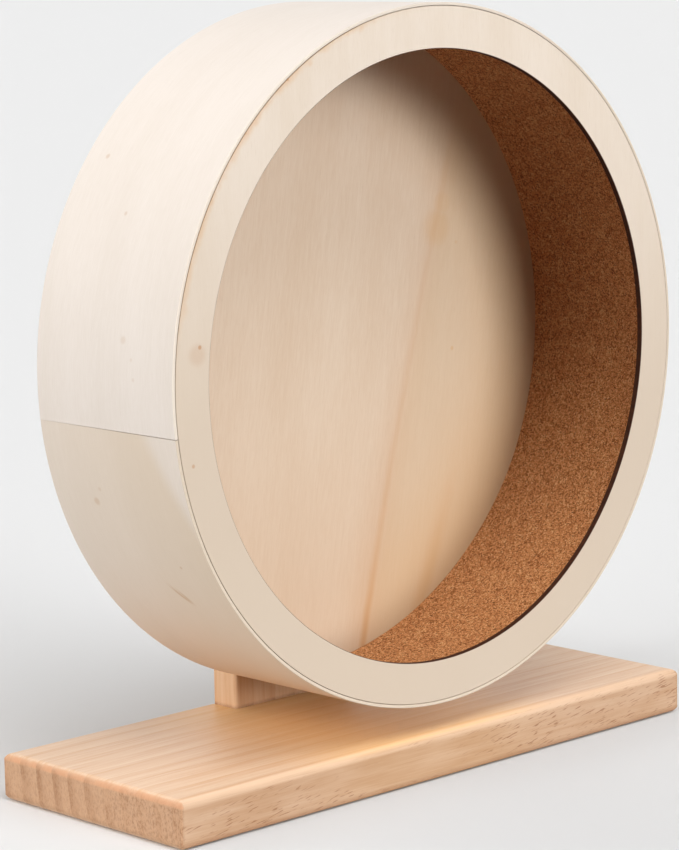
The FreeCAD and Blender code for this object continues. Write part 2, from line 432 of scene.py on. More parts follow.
@dataclass(frozen=True)
class Veneer(Finish):
    """Pale sliced veneer with fine grain, the face of all the plywood."""

    pale: Triple = linear(215, 200, 184)
    warm: Triple = linear(206, 188, 168)
    pore: Triple = linear(150, 116, 84)
    pore_share: float = 0.1
    cloud_share: float = 0.4
    line_share: float = 0.3
    fibre_share: float = 0.3
    roughness: float = 0.55

    def wood(self, graph: ShaderGraph, grain: Signal) -> tuple[Signal, Signal]:
        """Add the veneer's own pattern.

        Args:
            graph: The material's nodes.
            grain: Place with X along the fibres, in metres.

        Returns:
            The wood's colour and its height.
        """
        clouds = graph.noise(grain, (9.0, 30.0, 30.0), 3.0)
        lines = graph.noise(grain, (9.0, 420.0, 420.0), 3.0, 0.6)
        fibres = graph.noise(grain, (120.0, 1500.0, 1500.0), 2.0, 0.6)
        pores = graph.noise(grain, (200.0, 2600.0, 2600.0), 1.0).between(0.64, 0.76)
        tone = clouds * self.cloud_share + lines * self.line_share + fibres * self.fibre_share
        colour = graph.mix(tone.between(0.3, 0.7), self.pale, self.warm)
        colour = graph.mix(pores * self.pore_share, colour, self.pore)
        height = fibres * 0.6 + lines * 0.4 - pores * 0.5
        return colour, height

    def shine(self, graph: ShaderGraph, colour: Signal, height: Signal) -> None:
        """Give a veneer's sheen to the wood's colour and height."""
        graph.surface(colour, height, 0.05 * MM, 0.5, Roughness=self.roughness, Specular_IOR_Level=0.3)


@dataclass(frozen=True)
class BandVeneer(Veneer):
    """Veneer of the bent band, with its joint, knots and streaks."""

    width: float = 93.7 * MM
    knots: tuple[Mark, ...] = ()
    beige: Triple = linear(203, 180, 150)
    # Painted warm bounce light on the band's underside.
    painted_bounce_honey: Triple = linear(222, 186, 148)
    cut_edge: Triple = linear(205, 189, 170)
    upper_edge: Triple = linear(217, 205, 191)
    stain: Triple = linear(178, 136, 92)
    streak_place: Triple = (82.8 * MM, -13.0 * MM, 0.0)
    streak_turn: float = -41.0
    streak_length: float = 11.0 * MM
    streak_width: float = 2.2 * MM

    def paint(self, graph: ShaderGraph) -> None:
        """Add the finish's nodes to a material.

        Args:
            graph: The material's nodes.
        """
        place = graph.strip_place()
        along, across, _ = graph.parts(place)
        colour, height = self.wood(graph, place)
        from_front = across + self.width / 2
        after_joint = (1.0 - along.between(0.06, 0.26)) * (0.6 - from_front * (0.35 / self.width))
        pale_corner = 1.0 - (from_front + along * 0.5).between(15.0 * MM, 27.0 * MM)
        colour = graph.mix(after_joint * (1.0 - pale_corner * 0.75), colour, self.beige)
        # Painted light: the band's underside is tinted honey, standing in for warm light thrown up from the
        # base.
        painted_bounce_underside = along.within(0.06, 0.2, 0.3, 0.5)
        colour = graph.mix(painted_bounce_underside * 0.8, colour, self.painted_bounce_honey)
        streak_run = graph.turned(place, self.streak_place, (0.0, 0.0, self.streak_turn))
        run, beside, _ = graph.parts(streak_run)
        reach = (run * run / self.streak_length ** 2 + beside * beside / self.streak_width ** 2).root()
        strands = graph.noise(streak_run, (50.0, 700.0, 700.0), 1.0).between(0.38, 0.6)
        colour = graph.mix((1.0 - reach.between(0.3, 1.0)) * strands * 0.7, colour, self.stain)
        colour = graph.mix(self.marked(along, across, self.knots), colour, self.stain)
        front_edge = 1.0 - from_front.between(0.1 * MM, 0.5 * MM)
        edge_colour = graph.mix(along.between(0.6, 0.8), self.cut_edge, self.upper_edge)
        colour = graph.mix(front_edge, colour, edge_colour)
        self.shine(graph, colour, height)


@dataclass(frozen=True)
class RingVeneer(Veneer):
    """Veneer of the front ring, browned where it was cut."""

    opening: float = 143.8 * MM
    rim: float = 163.35 * MM
    knots: tuple[Mark, ...] = ()
    scorches: tuple[Mark, ...] = ()
    burnt: Triple = linear(54, 27, 16)
    charred: Triple = linear(78, 42, 25)
    scorch: Triple = linear(206, 160, 108)
    # Painted shade: colour towards the ring's bottom.
    dull: Triple = linear(194, 177, 158)
    seam: Triple = linear(128, 92, 60)
    knot: Triple = linear(172, 120, 72)

    def paint(self, graph: ShaderGraph) -> None:
        """Add the finish's nodes to a material.

        Args:
            graph: The material's nodes.
        """
        place = graph.turned(graph.object_place(), (0.0, 0.0, AXLE_HEIGHT), ORIGIN)
        aside, _, up = graph.parts(place)
        grain = graph.turned(place, ORIGIN, GrainAxis.HEIGHT.value)
        colour, height = self.wood(graph, grain)
        radius = aside.reach(up)
        patches = graph.noise(place, (75.0, 75.0, 75.0), 3.0, 0.65)
        angle = up.angle_to(aside * -1.0)
        upper_left = angle.within(-0.1, 0.5, 1.1, 1.6)
        ragged = radius + (patches - 0.5) * (9.0 * MM)
        stained = ragged.between(self.rim - 3.6 * MM, self.rim + 0.6 * MM) * upper_left
        stained = stained.most(self.marked(aside, up, self.scorches) * patches.between(0.25, 0.6))
        # Painted shade: the ring turns darker towards its bottom, as if lit more from above.
        colour = graph.mix((1.0 - up.between(-0.08, 0.16)) * 0.9, colour, self.dull)
        colour = graph.mix(stained * 0.48, colour, self.scorch)
        line = radius.between(self.rim - 0.45 * MM, self.rim - 0.1 * MM) * (upper_left * 0.32 + 0.28)
        colour = graph.mix(line, colour, self.seam)
        colour = graph.mix(self.marked(aside, up, self.knots), colour, self.knot)
        edge = 1.0 - radius.between(self.opening + 0.1 * MM, self.opening + 0.4 * MM)
        soot = graph.noise(place, (420.0, 900.0, 420.0), 2.0)
        cut = graph.mix(soot.between(0.3, 0.7), self.burnt, self.charred)
        colour = graph.mix(edge, colour, cut)
        self.shine(graph, colour, height)


@dataclass(frozen=True)
class DiscVeneer(Veneer):
    """Veneer of the back disc, with its orange heartwood streak."""

    streak: Triple = linear(196, 138, 82)
    yellow: Triple = linear(208, 180, 144)
    tan: Triple = linear(208, 178, 146)
    # Gold of the listed spots, also used as painted shade on the outer right of the disc.
    gold_and_painted_shade: Triple = linear(208, 162, 104)
    streak_line: tuple[float, float, float, float] = (0.0726, 0.2922, 0.138, -0.374)
    second_line: tuple[float, float] = (0.128, 0.385)
    spots: tuple[Mark, ...] = ()
    lean: float = 9.0

    def paint(self, graph: ShaderGraph) -> None:
        """Add the finish's nodes to a material.

        Args:
            graph: The material's nodes.
        """
        place = graph.turned(graph.object_place(), (0.0, 0.0, AXLE_HEIGHT), ORIGIN)
        grain = graph.turned(place, ORIGIN, (0.0, -90.0 + self.lean, 0.0))
        colour, height = self.wood(graph, grain)
        aside, depth, up = graph.parts(place)
        inside = 1.0 - depth.between(28.0 * MM, 31.0 * MM)
        colour = graph.mix((1.0 - up.between(-0.15, 0.0)) * 0.4, colour, self.tan)
        level, slope, bend, twist = self.streak_line
        course = ((up * twist + bend) * up + slope) * up + level
        wander = (graph.noise(place, (40.0, 40.0, 40.0), 1.0) - 0.5) * (2.0 * MM)
        off = aside - course + wander
        heart = off.between(-6.0 * MM, 8.0 * MM)
        colour = graph.mix(heart * inside * 0.4, colour, self.yellow)
        fade = (1.0 - up.between(-0.16, 0.02) * 0.45) * (1.0 - up.between(0.07, 0.12))
        line = off.within(-4.5 * MM, 0.0, 0.0, 3.5 * MM)
        halo = off.within(-20.0 * MM, -1.0 * MM, -1.0 * MM, 18.0 * MM)
        rust = (1.0 - up.between(-0.165, -0.1)) * line
        streaks = (line * 0.24 + halo * 0.16) * fade + rust * 0.3
        off_second = aside - up * self.second_line[1] - self.second_line[0] + wander
        second = off_second.within(-10.0 * MM, 0.0, 0.0, 7.0 * MM)
        streaks = streaks + second * (1.0 - up.between(-0.14, -0.05)) * 0.3
        colour = graph.mix(streaks * inside, colour, self.streak)
        radius = aside.reach(up)
        # Painted shade: the outer right part of the disc is tinted darker gold, standing in for the shadow of
        # the drum's rim.
        rim = radius.between(0.09, 0.16) * aside.between(0.0, 0.09) * 0.4
        spots_and_painted_shade = self.marked(aside, up, self.spots).most(rim)
        colour = graph.mix(spots_and_painted_shade * inside, colour, self.gold_and_painted_shade)
        self.shine(graph, colour, height)


@dataclass(frozen=True)
class Cork(Finish):
    """Pressed cork granules."""

    granule: float = 0.8 * MM
    fleck: Triple = linear(95, 56, 32)
    dark: Triple = linear(158, 96, 56)
    middle: Triple = linear(203, 133, 80)
    light: Triple = linear(228, 160, 104)
    bright: Triple = linear(248, 210, 153)
    shade_places: tuple[float, ...] = (0.1, 0.25, 0.45, 0.66, 0.92)

    def paint(self, graph: ShaderGraph) -> None:
        """Add the finish's nodes to a material.

        Args:
            graph: The material's nodes.
        """
        place = graph.object_place()
        cells = 1.0 / self.granule
        tint = graph.parts(graph.cells(place, cells, "Color"))[0]
        crumbs = graph.parts(graph.cells(place, cells * 1.9, "Color"))[1]
        borders = graph.cells(place, cells, "Distance")
        patches = graph.noise(place, (130.0, 130.0, 130.0), 2.0)
        grains = tint * 0.42 + crumbs * 0.42 + patches * 0.16
        shades = (self.fleck, self.dark, self.middle, self.light, self.bright)
        colour = graph.ramp(grains, list(zip(self.shade_places, shades)))
        height = grains * 0.5 - borders * 0.5
        graph.surface(colour, height, 0.2 * MM, 0.6, Roughness=0.85, Specular_IOR_Level=0.2)


@dataclass(frozen=True)
class Pine(Finish):
    """Solid pine with growth rings about a distant pith."""

    grain: GrainAxis = GrainAxis.LENGTH
    pith: tuple[float, float] = (-0.30, 0.056)
    ring_width: float = 12.0 * MM
    first_ring: float = 0.48
    ends: tuple[float, float] = (-168.5 * MM, 168.5 * MM)
    front: float = -63.25 * MM
    top: float = 22.7 * MM
    easing: float = 4.0 * MM
    ring_share: float = 0.1
    dash_slant: float = 10.0
    early: Triple = linear(226, 199, 172)
    late: Triple = linear(210, 166, 128)
    pore: Triple = linear(132, 84, 50)
    end_grain: Triple = linear(181, 141, 108)
    end_dark: Triple = linear(134, 91, 59)
    side_early: Triple = linear(190, 157, 129)
    side_late: Triple = linear(170, 131, 97)
    # Brown of the end's rounded upper edge, also painted shade on the lower front edge.
    browned_edge_and_painted_shade: Triple = linear(202, 148, 110)
    # Painted highlight colour for the rounded upper front edge.
    bright: Triple = linear(226, 196, 168)
    # Painted warm bounce light under the drum; off unless its share is set.
    painted_bounce_light: Triple = linear(255, 200, 120)
    painted_bounce_share: float = 0.0

    def paint(self, graph: ShaderGraph) -> None:
        """Add the finish's nodes to a material.

        Args:
            graph: The material's nodes.
        """
        place = graph.turned(graph.object_place(), ORIGIN, self.grain.value)
        along, across, _ = graph.parts(place)
        ring = self._rings(graph, place)
        lines = graph.noise(place, (12.0, 400.0, 400.0), 5.0, 0.7)
        fibres = graph.noise(place, (40.0, 1500.0, 1500.0), 2.0, 0.6)
        tone = ring * self.ring_share + lines * (0.75 - self.ring_share) + fibres * 0.25
        colour = graph.mix(tone.between(0.26, 0.74), self.early, self.late)
        # Painted light: the top under the drum is lightened and warmed, standing in for light thrown between
        # drum and board.
        painted_bounce_mask = along.within(-110.0 * MM, -30.0 * MM, 20.0 * MM, 90.0 * MM)
        colour = graph.mix(painted_bounce_mask * self.painted_bounce_share, colour, self.painted_bounce_light)
        face = 1.0 - across.between(self.front + 0.1 * MM, self.front + self.easing * 0.6)
        blotches = graph.noise(place, (16.0, 70.0, 70.0), 2.0)
        side_tone = (blotches * 0.5 + lines * 0.3 + fibres * 0.2).between(0.35, 0.65)
        colour = graph.mix(face * 0.9, colour, graph.mix(side_tone, self.side_early, self.side_late))
        slanted = graph.turned(place, ORIGIN, (0.0, -self.dash_slant, 0.0))
        dashes = graph.noise(slanted, (150.0, 1300.0, 1300.0), 1.0, 0.5).between(0.6, 0.7)
        rows = graph.noise(place, (9.0, 90.0, 90.0), 2.0).between(0.4, 0.56)
        dashes = dashes * rows * (face * 0.55 + 0.07)
        colour = graph.mix(dashes, colour, self.pore)
        colour = self._eased(graph, colour, place, lines)
        colour = self._ends(graph, colour, place, ring)
        relief = lines * 0.4 + fibres * 0.4 - dashes * 0.6
        graph.surface(colour, relief, 0.08 * MM, 0.6, Roughness=0.5, Specular_IOR_Level=0.25)

    def _rings(self, graph: ShaderGraph, place: Signal) -> Signal:
        """Add growth rings, each darker towards its outside.

        Args:
            graph: The material's nodes.
            place: Place with X along the fibres.

        Returns:
            Darkness of the ring, 0 to 1.
        """
        _, across, height = graph.parts(place)
        wander = (graph.noise(place, (3.0, 30.0, 30.0), 2.0) - 0.5) * (5.0 * MM)
        side = across - self.pith[0] + wander
        rise = height - self.pith[1]
        turns = side.reach(rise) / self.ring_width
        uneven = graph.noise(place, (0.5, 34.0, 2.0), 1.0) - 0.5
        year = (turns + uneven * 0.5 - self.first_ring).fraction()
        return year.within(0.3, 0.95, 0.96, 1.0)

    def _eased(self, graph: ShaderGraph, colour: Signal, place: Signal, lines: Signal) -> Signal:
        """Paint a highlight on the rounded upper front edge and paint shade on the lower one.

        Args:
            graph: The material's nodes.
            colour: The wood's colour.
            place: Place with X along the fibres.
            lines: The wood's streaks.

        Returns:
            The changed colour.
        """
        _, across, height = graph.parts(place)
        near = 1.0 - across.between(self.front + self.easing * 0.7, self.front + self.easing * 1.1)
        upper = near * height.between(self.top - self.easing * 1.1, self.top - self.easing * 0.5)
        # Painted highlight on the rounded upper front edge.
        colour = graph.mix(upper * lines.between(0.3, 0.6) * 0.55, colour, self.bright)
        # Painted shade on the rounded lower front edge.
        lower = near * (1.0 - height.between(self.easing * 0.4, self.easing))
        return graph.mix(lower * 0.4, colour, self.browned_edge_and_painted_shade)

    def _ends(self, graph: ShaderGraph, colour: Signal, place: Signal, ring: Signal) -> Signal:
        """Add end grain, browned on its rounded upper edge.

        Args:
            graph: The material's nodes.
            colour: The wood's colour.
            place: Place with X along the fibres.
            ring: Darkness of the rings.

        Returns:
            The changed colour.
        """
        along, across, height = graph.parts(place)
        back_half = across.between(-30.0 * MM, 5.0 * MM)
        low_end = 1.0 - along.between(self.ends[0] + 0.1 * MM, self.ends[0] + 2.2 * MM)
        high_end = along.between(self.ends[1] - 2.2 * MM, self.ends[1] - 0.1 * MM)
        speckle = graph.noise(place, (900.0, 900.0, 500.0), 3.0, 0.75).between(0.4, 0.68)
        strength = graph.noise(place, (0.5, 40.0, 40.0), 2.0).between(0.3, 0.62) * (back_half * 0.8 + 0.2)
        dark = ring * strength * 0.55 + speckle * (0.8 - back_half * 0.35)
        end_colour = graph.mix(dark, self.end_grain, self.end_dark)
        colour = graph.mix(low_end.most(high_end) * 0.85, colour, end_colour)
        upper = height.between(self.top - self.easing * 0.95, self.top - self.easing * 0.65)
        rounded = (1.0 - along.between(self.ends[0] + 1.0 * MM, self.ends[0] + self.easing * 0.6)) * upper
        patches = graph.noise(place, (40.0, 90.0, 40.0), 2.0).between(0.3, 0.6)
        browned = rounded * (patches * 0.35 + 0.4) * (1.0 - ring * strength * 0.6)
        return graph.mix(browned, colour, self.browned_edge_and_painted_shade)


@dataclass(frozen=True)
class Beech(Finish):
    """Turned beech with short flecks."""

    pale: Triple = linear(226, 186, 146)
    warm: Triple = linear(206, 160, 116)
    fleck: Triple = linear(150, 100, 62)

    def paint(self, graph: ShaderGraph) -> None:
        """Add the finish's nodes to a material.

        Args:
            graph: The material's nodes.
        """
        place = graph.turned(graph.object_place(), ORIGIN, GrainAxis.HEIGHT.value)
        lines = graph.noise(place, (12.0, 420.0, 420.0), 3.0, 0.6)
        flecks = graph.noise(place, (420.0, 1900.0, 1900.0), 1.0).between(0.6, 0.72)
        colour = graph.mix(lines.between(0.3, 0.7), self.pale, self.warm)
        colour = graph.mix(flecks * 0.5, colour, self.fleck)
        relief = lines - flecks * 0.5
        graph.surface(colour, relief, 0.05 * MM, 0.5, Roughness=0.5, Specular_IOR_Level=0.35)


@dataclass(frozen=True)
class Steel(Finish):
    """Bright steel with faint handling marks."""

    shade: Triple = (0.62, 0.63, 0.65)
    dull: Triple = (0.48, 0.49, 0.5)
    smooth: float = 0.24
    rough: float = 0.42

    def paint(self, graph: ShaderGraph) -> None:
        """Add the finish's nodes to a material.

        Args:
            graph: The material's nodes.
        """
        place = graph.object_place()
        clouds = graph.noise(place, (380.0, 380.0, 380.0), 4.0, 0.6)
        scratches = graph.noise(place, (300.0, 4200.0, 300.0), 2.0, 0.6)
        worn = (clouds * 0.7 + scratches * 0.3).between(0.35, 0.7)
        colour = graph.mix(worn, self.shade, self.dull)
        roughness = worn * (self.rough - self.smooth) + self.smooth
        graph.surface(colour, scratches, 0.01 * MM, 0.3, Roughness=roughness, Metallic=1.0)


class StripTree(GeometryGraph):
    """Tree that sweeps a strip with eased edges round the wheel's axle."""

    def __init__(self) -> None:
        """Build the tree."""
        super().__init__("bent_strip")
        radius, thick, wide, middle, start, sweep, easing = self.given(
            "Middle Radius", "Thickness", "Width", "Middle Along Axle", "Start Angle", "Sweep Angle",
            "Edge Easing")
        opening, lift, lift_from, lift_to = self.given("Joint Opening", "Edge Lift", "Lift From", "Lift To")
        steps, cuts = self.given("Steps Round", "Steps Across", kind="Int")
        closed, = self.given("Closed", kind="Bool")
        material, = self.given("Material", kind="Material")
        arc = self.add("GeometryNodeCurveArc", {"mode": "RADIUS"},
                       {"Resolution": steps, "Radius": radius, "Start Angle": start, "Sweep Angle": sweep})
        circle = self.add("GeometryNodeCurvePrimitiveCircle", {"mode": "RADIUS"},
                          {"Resolution": steps, "Radius": radius})
        path = self.add("GeometryNodeSwitch", {"input_type": "GEOMETRY"},
                        {"Switch": closed, "False": arc, "True": circle})
        run = self.add("GeometryNodeSplineParameter", output="Length")
        path, along = self.captured(path, run, "along")
        share = self.add("GeometryNodeSplineParameter", output="Factor")
        path, turn = self.captured(path, share, "turn")
        outline = self.add("GeometryNodeCurvePrimitiveQuadrilateral", {"mode": "RECTANGLE"},
                           {"Width": thick, "Height": wide})
        outline = self.add("GeometryNodeSubdivideCurve", sockets={"Curve": outline, "Cuts": cuts})
        outline = self.add("GeometryNodeFilletCurve", {"mode": "POLY"},
                           {"Curve": outline, "Count": 3, "Radius": easing, "Limit Radius": True})
        section_x, section_y, _ = self.parts(self.add("GeometryNodeInputPosition"))
        outline, across = self.captured(outline, section_y, "across")
        outline, depth = self.captured(outline, section_x, "depth")
        mesh = self.add("GeometryNodeCurveToMesh",
                        sockets={"Curve": path, "Profile Curve": outline, "Fill Caps": True})
        mesh = self.add("GeometryNodeMergeByDistance", sockets={"Geometry": mesh, "Distance": 0.001 * MM})
        mesh = self._shift(mesh, turn, across, opening, lift, lift_from, lift_to, wide)
        place = self.vector(along, across, depth)
        mesh = self.add("GeometryNodeStoreNamedAttribute", {"data_type": "FLOAT_VECTOR", "domain": "POINT"},
                        {"Geometry": mesh, "Name": STRIP_PLACE, "Value": place})
        upright = self.vector(math.pi / 2, 0.0, 0.0)
        centre = self.vector(0.0, middle, AXLE_HEIGHT)
        mesh = self.add("GeometryNodeTransform",
                        sockets={"Geometry": mesh, "Rotation": upright, "Translation": centre})
        self.close(self._smooth(mesh), material)

    def _shift(self, mesh: Signal, turn: Signal, across: Signal, opening: Signal, lift: Signal,
               lift_from: Signal, lift_to: Signal, wide: Signal) -> Signal:
        """Open the joint towards the front and lift the back edge over part of the turn.

        Args:
            mesh: Swept strip, about Z.
            turn: Share of the way round.
            across: Place across the strip.
            opening: How far each end draws back at the front edge.
            lift: How far the back edge leaves the drum.
            lift_from: Share of the turn where the lift begins.
            lift_to: Share where it ends.
            wide: Width of the strip.

        Returns:
            The shifted strip.
        """
        x, y, _ = self.parts(self.add("GeometryNodeInputPosition"))
        radius = x.reach(y)
        ends = 1.0 - turn.between(0.0, 0.006) - turn.between(0.994, 1.0)
        front = 1.0 - (across / wide).between(-0.5, 0.05)
        slide = ends * front * opening
        course = (turn - lift_from) / (lift_to - lift_from)
        hump = course.within(0.0, 0.45, 0.55, 1.0)
        back = (across / wide).between(-0.1, 0.5)
        inward = hump * back * lift
        move = self.vector((x * inward + y * slide) / radius * -1.0, (x * slide - y * inward) / radius, 0.0)
        return self.add("GeometryNodeSetPosition", sockets={"Geometry": mesh, "Offset": move})

    def _smooth(self, mesh: Signal) -> Signal:
        """Shade smoothly but for the square ends.

        Args:
            mesh: Strip.

        Returns:
            The same strip with its shading set.
        """
        mesh = self.add("GeometryNodeSetShadeSmooth", {"domain": "FACE"},
                        {"Geometry": mesh, "Shade Smooth": True})
        bend = self.add("GeometryNodeInputMeshEdgeAngle", output="Unsigned Angle")
        sharp = self.add("FunctionNodeCompare", {"data_type": "FLOAT", "operation": "GREATER_THAN"},
                         {"A": bend, "B": 1.0})
        return self.add("GeometryNodeSetShadeSmooth", {"domain": "EDGE"},
                        {"Geometry": mesh, "Selection": sharp, "Shade Smooth": False})


class ScrewTree(GeometryGraph):
    """Tree that cuts a cross recess in a screw blank and spreads the screw."""

    def __init__(self) -> None:
        """Build the tree."""
        super().__init__("countersunk_screws")
        recess, slit, depth, radius, spacing = self.given(
            "Recess Length", "Recess Width", "Recess Depth", "Ring Radius", "Row Spacing")
        turn, place = self.given("Turn", "Place", kind="Vector")
        blank, = self.given("Blank", kind="Object")
        count, = self.given("Count", kind="Int")
        in_a_row, = self.given("In A Row", kind="Bool")
        material, = self.given("Material", kind="Material")
        screw = self.add("GeometryNodeObjectInfo", sockets={"Object": blank}, output="Geometry")
        arm = self.add("GeometryNodeMeshCube", sockets={"Size": self.vector(recess, slit, depth * 2.0)})
        other = self.add("GeometryNodeMeshCube", sockets={"Size": self.vector(slit, recess, depth * 2.0)})
        arms = self.add("GeometryNodeJoinGeometry", sockets={"Geometry": arm})
        self.connect(other, arms.socket.node.inputs["Geometry"])
        cross = self.add("GeometryNodeMeshBoolean", {"operation": "UNION", "solver": "EXACT"},
                         {"Mesh 2": arms})
        cut = self.add("GeometryNodeMeshBoolean", {"operation": "DIFFERENCE", "solver": "EXACT"},
                       {"Mesh 1": screw, "Mesh 2": cross})
        ring = self.add("GeometryNodeMeshCircle", {"fill_type": "NONE"},
                        {"Vertices": count, "Radius": radius})
        eighth = self.vector(0.0, 0.0, math.pi / 4)
        ring = self.add("GeometryNodeTransform", sockets={"Geometry": ring, "Rotation": eighth})
        half = spacing * (count - 1.0) * -0.5
        row = self.add("GeometryNodeMeshLine", {"mode": "OFFSET", "count_mode": "TOTAL"},
                       {"Count": count, "Start Location": self.vector(half, 0.0, 0.0),
                        "Offset": self.vector(spacing, 0.0, 0.0)})
        points = self.add("GeometryNodeSwitch", {"input_type": "GEOMETRY"},
                          {"Switch": in_a_row, "False": ring, "True": row})
        driven = self.add("FunctionNodeRandomValue", {"data_type": "FLOAT"},
                          {"Min_001": 0.0, "Max_001": math.tau, "Seed": 4}, "Value_001")
        spin = self.vector(0.0, 0.0, driven)
        screws = self.add("GeometryNodeInstanceOnPoints",
                          sockets={"Points": points, "Instance": cut, "Rotation": spin})
        screws = self.add("GeometryNodeTransform",
                          sockets={"Geometry": screws, "Rotation": turn, "Translation": place})
        self.close(screws, material)


def turned_mesh(name: str, profile: list[tuple[float, float]], steps: int) -> Mesh:
    """Turn a profile about Z into a closed mesh.

    Args:
        name: Name of the mesh.
        profile: Radius and height of each point, first and last on the axis.
        steps: Faces round the axis.

    Returns:
        The mesh, its faces outwards.
    """
    points = [(0.0, 0.0, profile[0][1])]
    for radius, height in profile[1:-1]:
        for step in range(steps):
            angle = math.tau * step / steps
            points.append((radius * math.cos(angle), radius * math.sin(angle), height))
    points.append((0.0, 0.0, profile[-1][1]))
    rows = len(profile) - 2
    last = len(points) - 1
    faces = []
    for step in range(steps):
        after = (step + 1) % steps
        faces.append((0, 1 + after, 1 + step))
        for row in range(rows - 1):
            low = 1 + row * steps
            faces.append((low + step, low + after, low + steps + after, low + steps + step))
        top = 1 + (rows - 1) * steps
        faces.append((last, top + step, top + after))
    mesh = bpy.data.meshes.new(name)
    mesh.from_pydata(points, [], faces)
    mesh.update()
    return mesh


def dress(material: Material, *nodes: str) -> None:
    """Give CAD nodes a material.

    Args:
        material: The finish.
        nodes: Names of the nodes.
    """
    for name in nodes:
        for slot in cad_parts[name].material_slots:
            slot.material = material
        log.info("dressed %s in %s", name, material.name)


def seat(piece: Object, body: str, slot: str, *nodes: str) -> None:
    """Let a new piece ride on a body in place of CAD nodes.

    Args:
        piece: The piece.
        body: CAD body that carries it.
        slot: Material slot of the record; not used.
        nodes: CAD nodes that it stands for.
    """
    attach(piece, body)
    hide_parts(*nodes)
    log.info("built %s with %d faces on %s", piece.name, len(piece.data.polygons), body)


@dataclass
class Drum:
    """The turning drum: bent band, front ring, back disc and cork running surface."""

    radius: float = 165.0 * MM
    band_thickness: float = 1.5 * MM
    front: float = -61.25 * MM
    back: float = 32.45 * MM
    ring_thickness: float = 3.0 * MM
    disc_front: float = 26.95 * MM
    fitted_radius: float = 163.35 * MM
    opening_radius: float = 143.8 * MM
    cork_thickness: float = 2.0 * MM
    band_joint: float = 186.3
    band_gap: float = 0.02
    cork_joint: float = 150.0
    cork_gap: float = 0.1
    edge_easing: float = 0.3 * MM
    steps: int = 288
    band_inset: float = 0.005 * MM
    joint_opening: float = 0.15 * MM
    cork_lift: float = 2.0 * MM
    lift_angles: tuple[float, float] = (255.0, 335.0)
    cork_steps: int = 7

    def __post_init__(self) -> None:
        """Build the strips' tree once."""
        self.tree = StripTree()

    def build(self) -> None:
        """Build the strips and dress the disc."""
        self._band()
        self._ring()
        self._cork()
        spots = marks((89.0, 50.0, 13.0, 0.3), (93.0, 62.0, 9.0, 0.25), (98.8, -12.8, 1.6, 0.45),
                      (102.8, 41.1, 1.6, 0.3))
        disc = DiscVeneer("disc_veneer", pale=linear(223, 203, 181), warm=linear(215, 191, 166),
                          line_share=0.16, fibre_share=0.44, spots=spots)
        dress(disc.material(), "back_disc")

    def _strip(self, name: str, slot: str, node: str, **values: object) -> None:
        """Sweep a strip and seat it on the wheel.

        Args:
            name: Name of the piece.
            slot: Material slot of the record.
            node: CAD node that it stands for.
            values: Inputs of the tree that are special here; underscores stand for spaces.
        """
        inputs = {"Start Angle": 0.0, "Sweep Angle": math.tau, "Steps Round": self.steps, "Steps Across": 0,
                  "Edge Easing": self.edge_easing, "Closed": False, "Joint Opening": 0.0, "Edge Lift": 0.0,
                  "Lift From": 0.0, "Lift To": 1.0}
        for label, value in values.items():
            inputs[label.replace("_", " ")] = value
        seat(self.tree.piece(name, inputs), "wheel", slot, node)

    @staticmethod
    def _arc(joint: float, gap: float) -> dict[str, float]:
        """Give the tree's angles for a strip that leaves a gap at its joint, both in degrees."""
        return {"Start_Angle": math.radians(joint + gap / 2), "Sweep_Angle": math.radians(360.0 - gap)}

    def _band(self) -> None:
        """Build the bent band."""
        knots = tuple(self._knot(*row) for row in (
            (142.8, 17.9, 1.8, 0.35), (152.4, -11.2, 1.4, 0.3), (172.0, -27.2, 2.4, 0.2),
            (174.9, -33.3, 1.2, 0.15), (177.9, -34.9, 1.2, 0.18), (198.9, 3.3, 2.6, 0.35),
            (196.6, -1.2, 1.5, 0.2), (209.1, -39.4, 1.1, 0.4)))
        width = self.back - self.front
        finish = BandVeneer("band_veneer", knots=knots, width=width, pale=linear(221, 211, 202),
                            warm=linear(214, 203, 192), pore_share=0.04,
                            cloud_share=0.5, line_share=0.15, fibre_share=0.35)
        self._strip("running_band_bent", "plywood", "running_band",
                    Middle_Radius=self.radius - self.band_thickness / 2 - self.band_inset,
                    Thickness=self.band_thickness, Width=width,
                    Middle_Along_Axle=(self.back + self.front) / 2,
                    Joint_Opening=self.joint_opening, Material=finish.material(),
                    **self._arc(self.band_joint, self.band_gap))

    def _knot(self, angle: float, depth: float, radius: float, strength: float) -> Mark:
        """Place a knot on the band by degrees from +X towards +Z and millimetres along Y."""
        run = math.radians((angle - self.band_joint) % 360.0) * (self.radius - self.band_thickness / 2)
        return Mark(run, depth * MM - (self.back + self.front) / 2, radius * MM, strength)

    def _ring(self) -> None:
        """Build the front ring."""
        knots = marks((-93.2, 134.0, 1.1, 0.6), (-119.0, 111.9, 1.0, 0.4), (-148.7, 20.8, 1.5, 0.7),
                      (-150.2, 17.6, 6.5, 0.22), (-154.2, -30.8, 1.3, 0.5))
        scorches = marks((-92.9, 134.3, 3.2, 1.0), (-118.1, 112.3, 3.0, 1.0), (-136.4, 90.2, 4.0, 1.0),
                         (-48.4, 156.2, 4.5, 1.0), (-79.5, 141.0, 2.6, 1.0))
        finish = RingVeneer("ring_veneer", pale=linear(223, 210, 196), warm=linear(214, 198, 180),
                            line_share=0.15, fibre_share=0.2, cloud_share=0.65, knots=knots,
                            scorches=scorches, opening=self.opening_radius, rim=self.fitted_radius)
        self._strip("front_ring_cut", "plywood", "front_ring",
                    Middle_Radius=(self.fitted_radius + self.opening_radius) / 2,
                    Thickness=self.fitted_radius - self.opening_radius, Width=self.ring_thickness,
                    Middle_Along_Axle=self.front + self.ring_thickness / 2, Closed=True,
                    Material=finish.material())

